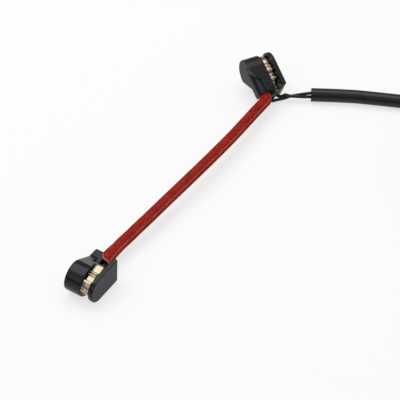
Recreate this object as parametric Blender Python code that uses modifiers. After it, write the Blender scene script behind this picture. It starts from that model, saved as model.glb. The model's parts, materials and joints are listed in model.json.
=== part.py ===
"""Brake pad wear sensor with two sensing heads, a sleeved link, a sheathed lead and its plug.

Everything is in metres with +Z up, and the floor is at height zero. A head is drawn in its own frame: u runs
from its round front to the end where the wires leave, v from the outer face of the thick lobe to the outer face
of the thin plate, and w across. The end head lies on its w+ side, the middle head is held up by its wires.
"""
import math

import bmesh
import bpy
from mathutils import Matrix, Vector

MM = 0.001

# Head moulding: a thick lobe, a groove and a thin plate, read from the photograph with the sleeve as 5 mm.
HEAD_WIDTH = 14.7 * MM
LOBE_THICK = 8.4 * MM
GROOVE_WIDTH = 4.1 * MM
PLATE_RADIUS = 6.44 * MM
PLATE_CENTRE = -13.44 * MM
LOBE_RADIUS = 7.14 * MM
LOBE_CENTRE = -12.66 * MM
CORE_RADIUS = 3.9 * MM
CORE_HALF = 3.4 * MM
CORE_REAR = -5.0 * MM
RIM_ROUND = 0.5 * MM
PLATE_ROUND = 0.35 * MM

# Neck: an outer wall with a round back, a slot for the sleeve, and a block beside it. Places along the head are
# counted from the end of the neck, which reaches further past the thin plate on the end head.
END_NECK = 5.2 * MM
MID_NECK = 1.0 * MM
NECK_UNDER = -0.7 * MM
NECK_LENGTH = 5.6 * MM
END_UNDERSIDE = (0.75 * MM, None)
MID_UNDERSIDE = (0.3 * MM, 276.0)
NECK_ROUND = 3.1 * MM
NECK_AXIS_W = 2.6 * MM
BACK_LENGTH = 11.4 * MM
BLOCK_WALL = 3.4 * MM
BLOCK_SHORT = 1.2 * MM
SLOT_RADIUS = 2.7 * MM
SLOT_NEAR = 3.25 * MM
SLOT_FAR = 6.3 * MM
SLOT_AXIS_W = 2.45 * MM
SLOT_LENGTH = 7.3 * MM
POCKET_LENGTH = 8.8 * MM
LIP_HEIGHT = 4.1 * MM
DIMPLE_RADIUS = 0.9 * MM
DIMPLE_DEPTH = 0.35 * MM

# Spring clip folded from strip.
CLIP_STRIP = 0.35 * MM
CLIP_SIDE_GAP = 0.25 * MM

# Wire, sleeve and sheath.
WIRE_RADIUS = 0.75 * MM
WIRE_SIDE = 0.85 * MM
WIRE_CLEAR = 0.3 * MM
WIRE_STEP = 1.5 * MM
LINK_STEP = 3.0 * MM
END_TUNNEL_MOUTH = 4.2 * MM
MID_TUNNEL_MOUTH = -1.2 * MM
LOOP_NEAR = 2.4 * MM
LOOP_FAR = 5.4 * MM
LOOP_REACH = 13.8 * MM
SLEEVE_RADIUS = 2.5 * MM
SLEEVE_WALL = 0.5 * MM
SLEEVE_DEPTH = 1.2 * MM
SLEEVE_STEP = 2.2 * MM
SHEATH_RADIUS = 3.25 * MM
SHEATH_BORE = 2.5 * MM
SHEATH_STEP = 5.0 * MM

# Coil of the lead that the photograph doesn't show.
COIL_RADIUS = 35.0 * MM
COIL_LAYERS = 3
COIL_TURNS = 2.25
COIL_LIFT = 0.9 * MM
COIL_TANGENT = Vector((145.0, 56.0, 0.0)) * MM
COIL_HEADING = math.radians(-10.0)
PIECE_GAP = 0.3 * MM
TIE_THICK = 0.6 * MM
TIE_WIDTH = 5.0 * MM
TIE_ANGLE = math.radians(20.0)

# Plug at the far end of the lead.
TAIL_LENGTH = 60.0 * MM
TAIL_HEIGHT = 7.1 * MM
PLUG_DISTANCE = 13.0 * MM
CONTACT_SIDE = 2.3 * MM

# Places of the heads: origin at the middle of the thin plate's rear edge, on the lobe's outer face.
END_PLACE = Vector((-47.9, -43.43, 7.4)) * MM
END_TURN = (58.1, 0.0, 182.5)
MID_PLACE = Vector((26.56, 64.26, 5.99)) * MM
MID_TURN = (-63.9, 26.2, -0.4)

# The row's origin: under the middle of the two heads, at the floor.
ORIGIN = Vector((1.43, 9.65, -0.08)) * MM

COLLECTION = "brake_pad_wear_sensor"


def head_matrix(place, turn):
    yaw, pitch, roll = (math.radians(a) for a in turn)
    turned = Matrix.Rotation(yaw, 4, "Z") @ Matrix.Rotation(pitch, 4, "Y") @ Matrix.Rotation(roll, 4, "X")
    return Matrix.Translation(place) @ turned


def clear_scene():
    for obj in list(bpy.data.objects):
        bpy.data.objects.remove(obj, do_unlink=True)
    for name in (COLLECTION, "cutters"):
        old = bpy.data.collections.get(name)
        if old is not None:
            bpy.data.collections.remove(old)


def new_collection(name):
    made = bpy.data.collections.new(name)
    bpy.context.scene.collection.children.link(made)
    return made


def material(name, colour, roughness, metallic=0.0):
    made = bpy.data.materials.new(name)
    made.use_nodes = True
    shader = made.node_tree.nodes["Principled BSDF"]
    shader.inputs["Base Color"].default_value = (*colour, 1.0)
    shader.inputs["Roughness"].default_value = roughness
    shader.inputs["Metallic"].default_value = metallic
    return made


def paint(obj, mat):
    obj.data.materials.clear()
    obj.data.materials.append(mat)


def mesh_from(source, name, collection, matrix):
    """Turns a curve into a welded mesh and removes the curve."""
    depsgraph = bpy.context.evaluated_depsgraph_get()
    mesh = bpy.data.meshes.new_from_object(source.evaluated_get(depsgraph))
    work = bmesh.new()
    work.from_mesh(mesh)
    bmesh.ops.remove_doubles(work, verts=work.verts, dist=0.00001)
    bmesh.ops.dissolve_limit(work, angle_limit=0.0005, verts=work.verts, edges=work.edges)
    bmesh.ops.recalc_face_normals(work, faces=work.faces)
    work.to_mesh(mesh)
    work.free()
    bpy.data.objects.remove(source, do_unlink=True)
    obj = bpy.data.objects.new(name, mesh)
    collection.objects.link(obj)
    obj.matrix_world = matrix
    return obj


def flat_curve(name, outlines, half):
    data = bpy.data.curves.new(name, "CURVE")
    data.dimensions = "2D"
    data.fill_mode = "BOTH"
    data.extrude = half
    for outline in outlines:
        spline = data.splines.new("POLY")
        spline.points.add(len(outline) - 1)
        for point, (x, y) in zip(spline.points, outline):
            point.co = (x, y, 0.0, 1.0)
        spline.use_cyclic_u = True
    obj = bpy.data.objects.new(name, data)
    bpy.context.scene.collection.objects.link(obj)
    bpy.context.view_layer.update()
    return obj


def slab_v(name, outlines, low, high, collection, matrix):
    """A flat outline in u and w, thick along v."""
    source = flat_curve(name + "_outline", outlines, (high - low) / 2)
    local = Matrix.Translation((0.0, (low + high) / 2, 0.0)) @ Matrix.Rotation(math.radians(90), 4, "X")
    return mesh_from(source, name, collection, matrix @ local)


def slab_w(name, outlines, low, high, collection, matrix):
    """A flat outline in u and v, thick along w."""
    source = flat_curve(name + "_outline", outlines, (high - low) / 2)
    return mesh_from(source, name, collection, matrix @ Matrix.Translation((0.0, 0.0, (low + high) / 2)))


def slab_u(name, outlines, low, high, collection, matrix):
    """A flat outline in v and w, thick along u."""
    source = flat_curve(name + "_outline", outlines, (high - low) / 2)
    turn = Matrix(((0, 0, 1, 0), (1, 0, 0, 0), (0, 1, 0, 0), (0, 0, 0, 1)))
    return mesh_from(source, name, collection, matrix @ Matrix.Translation(((low + high) / 2, 0.0, 0.0)) @ turn)


def arc(cx, cy, radius, start, end, steps):
    points = []
    for i in range(steps + 1):
        angle = math.radians(start + (end - start) * i / steps)
        points.append((cx + radius * math.cos(angle), cy + radius * math.sin(angle)))
    return points


def round_box(half_x, half_y, corner, cx=0.0, cy=0.0, steps=5):
    points = []
    for sx, sy, start in ((1, 1, 0), (-1, 1, 90), (-1, -1, 180), (1, -1, 270)):
        x = cx + sx * (half_x - corner)
        y = cy + sy * (half_y - corner)
        points += arc(x, y, corner, start, start + 90, steps)
    return points


def circle(radius, cx=0.0, cy=0.0, steps=20):
    return arc(cx, cy, radius, 0, 360 - 360 / steps, steps - 1)


def smooth_route(points, step):
    """Reads points at an even step from a smooth curve through the given ones."""
    fine = []
    count = len(points)
    for i in range(count - 1):
        p0 = points[max(i - 1, 0)]
        p1 = points[i]
        p2 = points[i + 1]
        p3 = points[min(i + 2, count - 1)]
        length = (p2 - p1).length
        pieces = max(int(length / (step * 0.2)), 4)
        d01 = max((p1 - p0).length, 1e-7) ** 0.5
        d12 = max(length, 1e-7) ** 0.5
        d23 = max((p3 - p2).length, 1e-7) ** 0.5
        m1 = (p2 - p1)
        m2 = (p2 - p1)
        if i > 0:
            m1 = ((p1 - p0) / d01 - (p2 - p0) / (d01 + d12) + (p2 - p1) / d12) * d12
        if i < count - 2:
            m2 = ((p2 - p1) / d12 - (p3 - p1) / (d12 + d23) + (p3 - p2) / d23) * d12
        for k in range(pieces):
            t = k / pieces
            a = 2 * t ** 3 - 3 * t ** 2 + 1
            b = t ** 3 - 2 * t ** 2 + t
            c = -2 * t ** 3 + 3 * t ** 2
            d = t ** 3 - t ** 2
            fine.append(p1 * a + m1 * b + p2 * c + m2 * d)
    fine.append(points[-1])
    total = sum((b - a).length for a, b in zip(fine, fine[1:]))
    parts = max(round(total / step), 2)
    spaced = [fine[0]]
    target = total / parts
    run = 0.0
    for a, b in zip(fine, fine[1:]):
        length = (b - a).length
        while run + length >= target * len(spaced) and len(spaced) < parts:
            spaced.append(a + (b - a) * ((target * len(spaced) - run) / length))
        run += length
    spaced.append(fine[-1])
    return spaced


def tube(name, points, radius, collection, resolution=2, caps=True):
    data = bpy.data.curves.new(name, "CURVE")
    data.dimensions = "3D"
    data.bevel_depth = radius
    data.bevel_resolution = resolution
    data.use_fill_caps = caps
    spline = data.splines.new("POLY")
    spline.points.add(len(points) - 1)
    for point, place in zip(spline.points, points):
        point.co = (*place, 1.0)
    spline.use_smooth = True
    obj = bpy.data.objects.new(name, data)
    collection.objects.link(obj)
    return obj


def tube_mesh(name, points, radius, collection, resolution=2):
    obj = tube(name + "_line", points, radius, bpy.context.scene.collection, resolution)
    bpy.context.view_layer.update()
    return mesh_from(obj, name, collection, Matrix.Identity(4))


def boolean(obj, other, operation):
    modifier = obj.modifiers.new(operation.lower(), "BOOLEAN")
    modifier.operation = operation
    modifier.solver = "EXACT"
    modifier.object = other


def bevel(obj, width, segments, angle=40.0):
    modifier = obj.modifiers.new("edge", "BEVEL")
    modifier.width = width
    modifier.segments = segments
    modifier.limit_method = "ANGLE"
    modifier.angle_limit = math.radians(angle)


def shade(obj, angle=35.0):
    for face in obj.data.polygons:
        face.use_smooth = True
    obj.data.set_sharp_from_angle(angle=math.radians(angle))


def lobe_outline(neck, foot_drop, round_end):
    """Round front, a slanted underside, and the neck at the w+ side.

    Without a round_end, the slant touches the round.
    """
    foot = Vector((neck - NECK_LENGTH - foot_drop * 1.2, NECK_UNDER - foot_drop))
    if round_end is None:
        to_centre = Vector((LOBE_CENTRE, 0.0)) - foot
        lean = math.degrees(math.atan2(to_centre.y, to_centre.x))
        opening = math.degrees(math.asin(LOBE_RADIUS / to_centre.length))
        round_end = (lean + opening) % 360 + 90
    points = arc(LOBE_CENTRE, 0.0, LOBE_RADIUS, 90, round_end, 36)
    points += [tuple(foot), (neck - NECK_LENGTH - foot_drop * 0.27, NECK_UNDER - foot_drop * 0.44)]
    points += [(neck - NECK_LENGTH + 0.6 * MM, NECK_UNDER - 0.08 * MM), (neck - NECK_LENGTH + 1.4 * MM, NECK_UNDER)]
    points += [(neck, NECK_UNDER), (neck, LOBE_RADIUS)]
    return points


def plate_outline():
    points = arc(PLATE_CENTRE, 0.0, PLATE_RADIUS, 90, 270, 32)
    points += [(0.0, -PLATE_RADIUS), (0.0, PLATE_RADIUS)]
    return points


def core_outline():
    reach = math.degrees(math.asin(CORE_HALF / CORE_RADIUS))
    points = arc(PLATE_CENTRE, 0.0, CORE_RADIUS, 180 - reach, 180 + reach, 16)
    points += [(CORE_REAR, -CORE_HALF), (CORE_REAR, CORE_HALF)]
    return points


def make_head_body(name, matrix, neck, slant_start, wire_path, mat, parts, cutters):
    plate_in = LOBE_THICK + GROOVE_WIDTH
    out = neck + 4 * MM
    body = slab_v(name, [lobe_outline(neck, *slant_start)], 0.0, LOBE_THICK, parts, matrix)
    bevel(body, RIM_ROUND, 3)

    # The diagonal step on the w+ side, cut down to the middle of the neck's round back.
    step = [(-12.6, -2.0), (-12.4, 0.2), (-10.4, 1.0), (-8.6, 1.9), (-7.2, 2.8)]
    step = [(neck + x * MM, y * MM) for x, y in step] + [(neck - 6.6 * MM, BLOCK_WALL), (out, BLOCK_WALL)]
    cut = slab_w(name + "_step", [step + [(out, -2 * MM)]], NECK_AXIS_W, 9 * MM, cutters, matrix)
    boolean(body, cut, "DIFFERENCE")

    # The round back over the sleeve, with a domed front.
    back = tube_mesh(name + "_back_line", [Vector((neck - BACK_LENGTH, NECK_ROUND, NECK_AXIS_W)),
                     Vector((neck, NECK_ROUND, NECK_AXIS_W))], NECK_ROUND, cutters, 8)
    back.matrix_world = matrix
    bevel(back, 1.2 * MM, 4)
    trim = slab_w(name + "_back_trim", [[(neck - 12 * MM, -1 * MM), (neck - 0.01 * MM, -1 * MM),
                  (neck - 0.01 * MM, 4.4 * MM), (neck - 12 * MM, 4.4 * MM)]], 0.9 * MM, 9 * MM, cutters, matrix)
    boolean(back, trim, "INTERSECT")
    boolean(body, back, "UNION")

    # Beyond the block only the outer wall of the neck goes on.
    end = slab_w(name + "_end", [[(neck - 0.3 * MM, 4.35 * MM), (out, 4.35 * MM), (out, 9 * MM),
                 (neck - BLOCK_SHORT, 9 * MM)]], -9 * MM, 9 * MM, cutters, matrix)
    boolean(body, end, "DIFFERENCE")

    # The open side: a shallow slanted cut, then the pocket behind the core.
    slant = [(-12.4 * MM, 9 * MM), (-11.8 * MM, 8.45 * MM), (neck - 6.3 * MM, 5.0 * MM), (neck - 3.3 * MM, LIP_HEIGHT)]
    slant += [(out, LIP_HEIGHT), (out, 9 * MM)]
    shallow = slab_w(name + "_slant", [slant], -9 * MM, -3.9 * MM, cutters, matrix)
    boolean(body, shallow, "DIFFERENCE")
    front = neck - POCKET_LENGTH
    pocket = [(front, LIP_HEIGHT), (out, LIP_HEIGHT), (out, 9 * MM), (front, 9 * MM)]
    deep = slab_w(name + "_pocket", [pocket], -9 * MM, SLOT_AXIS_W, cutters, matrix)
    boolean(body, deep, "DIFFERENCE")

    core = slab_v(name + "_core", [core_outline()], LOBE_THICK - 0.6 * MM, plate_in + 0.6 * MM, cutters, matrix)
    boolean(body, core, "UNION")
    plate = slab_v(name + "_plate", [plate_outline()], plate_in, HEAD_WIDTH, cutters, matrix)
    bevel(plate, PLATE_ROUND, 3)
    boolean(body, plate, "UNION")

    # The slot that holds the sleeve.
    slot = arc(SLOT_FAR, SLOT_AXIS_W, SLOT_RADIUS, -90, 90, 14) + arc(SLOT_NEAR, SLOT_AXIS_W, SLOT_RADIUS, 90, 270, 14)
    channel = slab_u(name + "_slot", [slot], neck - SLOT_LENGTH, out, cutters, matrix)
    boolean(body, channel, "DIFFERENCE")

    # The tunnel that the sensing loop runs in, and the mark of the ejector pin.
    tunnel = tube_mesh(name + "_tunnel", wire_path, WIRE_RADIUS + WIRE_CLEAR, cutters, 3)
    tunnel.matrix_world = matrix
    boolean(body, tunnel, "DIFFERENCE")
    dimple = slab_v(name + "_dimple", [circle(DIMPLE_RADIUS, -12.9 * MM, 5.3 * MM)], -1 * MM, DIMPLE_DEPTH,
                    cutters, matrix)
    boolean(body, dimple, "DIFFERENCE")
    shade(body, 30.0)
    paint(body, mat)
    return body


def clip_line():
    """The middle of the strip, from the end of its w- leg round the front to the end of its w+ leg."""
    under = [(-5.75, -4.75), (-6.0, -5.5), (-6.6, -6.0), (-7.4, -6.1), (-10.75, -5.4), (-11.2, -5.45)]
    under += [(-11.6, -6.1), (-12.0, -6.15), (-12.35, -5.5), (-12.6, -5.5), (-12.95, -6.05), (-13.35, -6.05)]
    under += [(-13.8, -5.35), (-16.0, -4.75), (-16.45, -5.05), (-17.3, -4.75), (-18.75, -2.75), (-18.95, -2.0)]
    front = [(-19.35, -1.6), (-19.35, -0.7), (-19.1, 0.1), (-18.6, 1.0), (-18.0, 1.8), (-17.25, 2.6), (-16.4, 3.3)]
    over = [(-15.3, 3.9), (-13.7, 4.2), (-13.2, 3.98), (-12.8, 4.02), (-12.3, 4.7), (-11.6, 4.95), (-11.1, 4.6)]
    over += [(-9.4, 4.85), (-8.8, 4.5), (-8.2, 3.98), (-7.2, 3.98), (-6.7, 4.3), (-5.3, 5.05), (-4.8, 4.9), (-4.5, 4.2)]
    over += [(-4.1, 3.3), (-3.2, 2.7), (-1.4, 2.55), (-0.5, 2.8), (-0.1, 3.3)]
    return [(x * MM, y * MM) for x, y in under + front + over]


def strip_outline(line, thick):
    """Both sides of a bent strip as one closed outline."""
    left = []
    right = []
    for i, (x, y) in enumerate(line):
        before = line[max(i - 1, 0)]
        after = line[min(i + 1, len(line) - 1)]
        n1 = Vector((-(y - before[1]), x - before[0]))
        n2 = Vector((-(after[1] - y), after[0] - x))
        n1 = n1.normalized() if n1.length > 0 else n2.normalized()
        n2 = n2.normalized() if n2.length > 0 else n1
        mid = (n1 + n2).normalized()
        reach = min(1.0 / max(mid.dot(n1), 0.5), 1.4) * thick / 2
        left.append((x + mid.x * reach, y + mid.y * reach))
        right.append((x - mid.x * reach, y - mid.y * reach))
    return left + right[::-1]


def make_clip(name, matrix, mat, parts):
    low = LOBE_THICK + CLIP_SIDE_GAP
    high = LOBE_THICK + GROOVE_WIDTH - CLIP_SIDE_GAP
    clip = slab_v(name, [strip_outline(clip_line(), CLIP_STRIP)], low, high, parts, matrix)
    shade(clip, 25.0)
    paint(clip, mat)
    return clip


def loop_points(neck):
    """The sensing loop in a head's own frame, out near the lobe's outer face and back."""
    middle = (LOOP_NEAR + LOOP_FAR) / 2
    radius = (LOOP_FAR - LOOP_NEAR) / 2
    turn = neck - LOOP_REACH
    points = [Vector((neck - POCKET_LENGTH, LOOP_NEAR, SLOT_AXIS_W)), Vector((turn, LOOP_NEAR, SLOT_AXIS_W))]
    for degrees in (240, 210, 180, 150, 120):
        angle = math.radians(degrees)
        points.append(Vector((turn + radius * math.cos(angle), middle + radius * math.sin(angle), SLOT_AXIS_W)))
    points += [Vector((turn, LOOP_FAR, SLOT_AXIS_W)), Vector((neck - POCKET_LENGTH - 0.7 * MM, LOOP_FAR, SLOT_AXIS_W))]
    return points


def mm_points(rows):
    return [Vector(row) * MM for row in rows]


def sleeve_route(end_matrix, mid_matrix):
    """The middle of the link, from the end head's slot to the middle head's."""
    start = END_NECK - SLEEVE_DEPTH
    stop = MID_NECK - SLEEVE_DEPTH
    first = [end_matrix @ Vector((start + x * MM, SLOT_FAR, SLOT_AXIS_W)) for x in (0.0, 2.6, 5.4)]
    middle = mm_points([(-35.0, -34.4, 5.4), (-31.3, -29.95, 6.0), (-27.6, -25.3, 6.6), (-23.85, -20.65, 7.1),
                        (-16.35, -10.7, 7.8), (-8.69, -0.3, 8.2), (-0.95, 10.5, 8.4), (6.88, 21.8, 8.4),
                        (14.72, 33.6, 8.3), (22.5, 46.2, 7.8), (26.5, 52.9, 7.3), (29.3, 58.2, 6.95),
                        (30.5, 61.0, 7.05)])
    last = [(2.6, -0.1, 0.0), (1.3, 0.0, 0.0), (0.0, 0.0, 0.0)]
    mouth = [mid_matrix @ Vector((stop + x * MM, SLOT_NEAR + y * MM, SLOT_AXIS_W + z * MM)) for x, y, z in last]
    return first + middle + mouth


def beside(route, side):
    """The same route moved sideways in the level plane."""
    moved = []
    for i, place in enumerate(route):
        along = route[min(i + 1, len(route) - 1)] - route[max(i - 1, 0)]
        across = Vector((-along.y, along.x, 0.0)).normalized()
        moved.append(place + across * side)
    return moved


def wire_route(end_matrix, mid_matrix, link):
    """One wire: from the sheath through the middle head's loop, the link and the end head's loop, and back."""
    upper = mm_points([(61.0, 68.6, 2.65), (57.0, 68.85, 2.65), (54.2, 68.9, 2.65), (51.4, 68.5, 2.9),
                       (48.5, 68.15, 3.2), (45.6, 68.1, 3.5), (42.7, 68.3, 3.6), (40.6, 69.2, 3.6)])
    upper += [mid_matrix @ p for p in mm_points([(2.2, 14.0, -1.9), (1.6, 12.6, -2.2), (0.3, 11.2, -2.1),
                                                 (-1.5, 10.2, -1.4), (-3.0, 9.0, 0.2), (-4.1, 7.8, 1.6),
                                                 (-5.6, 6.5, 2.3)])]
    mid_loop = [mid_matrix @ p for p in reversed(loop_points(MID_NECK))]
    upper += mid_loop
    upper += [mid_matrix @ p for p in mm_points([(-5.4, 2.4, 2.45), (-3.0, 2.4, 2.45)])]
    out = beside(link, WIRE_SIDE)[::-1]
    end_in = [end_matrix @ p for p in mm_points([(1.5, 5.2, 2.45), (-0.6, 4.0, 2.45), (-2.4, 2.8, 2.45)])]
    end_loop = [end_matrix @ p for p in loop_points(END_NECK)]
    end_out = [end_matrix @ p for p in mm_points([(-2.2, 5.6, 2.45), (-0.2, 6.3, 2.45), (1.7, 7.0, 2.45)])]
    back = beside(link, -WIRE_SIDE)
    lower = [mid_matrix @ p for p in mm_points([(-2.0, 4.2, 2.4), (-3.3, 4.5, 1.5), (-3.8, 4.8, 0.0),
                                                (-3.2, 5.1, -1.6), (-1.4, 5.7, -2.7), (1.0, 6.5, -3.2)])]
    lower += mm_points([(33.95, 66.3, 2.3), (37.0, 67.5, 2.0), (40.0, 68.6, 1.9), (42.7, 69.5, 2.3),
                        (45.6, 69.8, 2.8), (48.5, 69.8, 3.4), (51.4, 69.9, 3.85), (54.2, 70.15, 3.9),
                        (57.0, 70.05, 3.9), (61.0, 69.8, 3.9)])
    return upper + out + end_in + end_loop + end_out + back + lower


def tunnel_path(line, matrix, limit):
    """The stretch of the wire inside a head, in the head's own frame: the one that reaches its round front."""
    local = [matrix.inverted() @ p for p in line]
    target = Vector((LOBE_CENTRE, (LOOP_NEAR + LOOP_FAR) / 2, SLOT_AXIS_W))
    front = min(range(len(local)), key=lambda i: (local[i] - target).length)
    first = front
    last = front
    while first > 0 and local[first - 1].x < limit:
        first -= 1
    while last < len(local) - 1 and local[last + 1].x < limit:
        last += 1
    return local[first:last + 1]


def coil_centre():
    heading = Vector((math.cos(COIL_HEADING), math.sin(COIL_HEADING), 0.0))
    return COIL_TANGENT + Vector((heading.y, -heading.x, 0.0)) * COIL_RADIUS


def coil_reach():
    """How far before the coil's tangent point a straight piece of the lead ends, a small gap from the ring."""
    return math.sqrt((COIL_RADIUS + SHEATH_RADIUS + PIECE_GAP) ** 2 - (COIL_RADIUS - SHEATH_RADIUS) ** 2)


def lead_in_route():
    """From the open mouth of the sheath to where it meets the coil."""
    level = SHEATH_RADIUS / MM
    flat = [(52.82, 69.59), (62.79, 69.07), (68.48, 68.67), (74.16, 68.15), (79.8, 67.3), (85.44, 66.4)]
    flat += [(91.08, 65.45), (99.5, 64.02), (110.0, 62.17)]
    points = mm_points([(x, y, level) for x, y in flat])
    heading = Vector((math.cos(COIL_HEADING), math.sin(COIL_HEADING), 0.0))
    stop = COIL_TANGENT - heading * coil_reach()
    points.append(Vector((stop.x, stop.y, SHEATH_RADIUS + 0.4 * MM)))
    return points


def tail_frame():
    """The point where the lead leaves the coil, and its heading there."""
    angle = COIL_HEADING + math.radians(90) - COIL_TURNS * 2 * math.pi
    away = Vector((math.cos(angle), math.sin(angle), 0.0))
    heading = Vector((math.sin(angle), -math.cos(angle), 0.0))
    return coil_centre() + away * COIL_RADIUS, heading


def tail_route():
    start, heading = tail_frame()
    top = COIL_LIFT + SHEATH_RADIUS * (2 * COIL_LAYERS - 1)
    reach = coil_reach()
    points = []
    for i in range(9):
        t = reach + (TAIL_LENGTH - reach) * i / 8
        s = min(t / (TAIL_LENGTH * 0.92), 1.0)
        height = top + (TAIL_HEIGHT - top) * (3 * s ** 2 - 2 * s ** 3)
        points.append(start + heading * t + Vector((0, 0, height)))
    return points


def make_ring(name, mat, parts):
    """The coil as one turned ring with a rounded, upright section."""
    height = 2 * SHEATH_RADIUS * COIL_LAYERS
    section = []
    for x, z in arc(COIL_RADIUS, COIL_LIFT + height - SHEATH_RADIUS, SHEATH_RADIUS, 0, 180, 8):
        section.append((x, 0.0, z))
    for x, z in arc(COIL_RADIUS, COIL_LIFT + SHEATH_RADIUS, SHEATH_RADIUS, 180, 360, 8):
        section.append((x, 0.0, z))
    mesh = bpy.data.meshes.new(name)
    section.reverse()
    mesh.from_pydata(section, [(i, (i + 1) % len(section)) for i in range(len(section))], [])
    obj = bpy.data.objects.new(name, mesh)
    parts.objects.link(obj)
    obj.location = coil_centre()
    modifier = obj.modifiers.new("turn", "SCREW")
    modifier.steps = 48
    modifier.render_steps = 48
    modifier.use_merge_vertices = True
    modifier.merge_threshold = 0.00001
    paint(obj, mat)
    return obj


def make_tie(name, mat, parts, cutters):
    height = 2 * SHEATH_RADIUS * COIL_LAYERS
    inner = PIECE_GAP + SHEATH_RADIUS
    outer = inner + TIE_THICK
    middle = COIL_LIFT + height / 2
    place = Matrix.Translation(coil_centre()) @ Matrix.Rotation(TIE_ANGLE, 4, "Z")
    place = place @ Matrix.Translation((COIL_RADIUS, 0.0, 0.0))
    loops = [round_box(outer, height / 2 + PIECE_GAP + TIE_THICK, outer - 0.02 * MM, 0.0, middle, 8)]
    loops.append(round_box(inner, height / 2 + PIECE_GAP, inner - 0.02 * MM, 0.0, middle, 8))
    tie = slab_v(name, loops, -TIE_WIDTH / 2, TIE_WIDTH / 2, parts, place)
    block = slab_v(name + "_block", [round_box(1.6 * MM, 3.2 * MM, 0.6 * MM, outer + 1.3 * MM, middle)],
                   -TIE_WIDTH / 2 - 0.6 * MM, TIE_WIDTH / 2 + 0.6 * MM, cutters, place)
    end = slab_v(name + "_end", [round_box(2.6 * MM, 0.5 * MM, 0.3 * MM, outer + 4.0 * MM, middle + 0.6 * MM)],
                 -TIE_WIDTH / 2 + 0.4 * MM, TIE_WIDTH / 2 - 0.4 * MM, cutters, place)
    boolean(tie, block, "UNION")
    boolean(tie, end, "UNION")
    paint(tie, mat)
    return tie


def turned(name, profile, axis, mat, parts, steps=24):
    """Turns a closed profile of radius and distance, given down its outer side, about an axis along u."""
    mesh = bpy.data.meshes.new(name)
    mesh.from_pydata([(r, 0.0, x) for r, x in profile],
                     [(i, (i + 1) % len(profile)) for i in range(len(profile))], [])
    obj = bpy.data.objects.new(name, mesh)
    parts.objects.link(obj)
    obj.matrix_world = axis @ Matrix.Rotation(math.radians(90), 4, "Y")
    modifier = obj.modifiers.new("turn", "SCREW")
    modifier.steps = steps
    modifier.render_steps = steps
    modifier.use_merge_vertices = True
    modifier.merge_threshold = 0.00001
    paint(obj, mat)
    return obj


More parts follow.
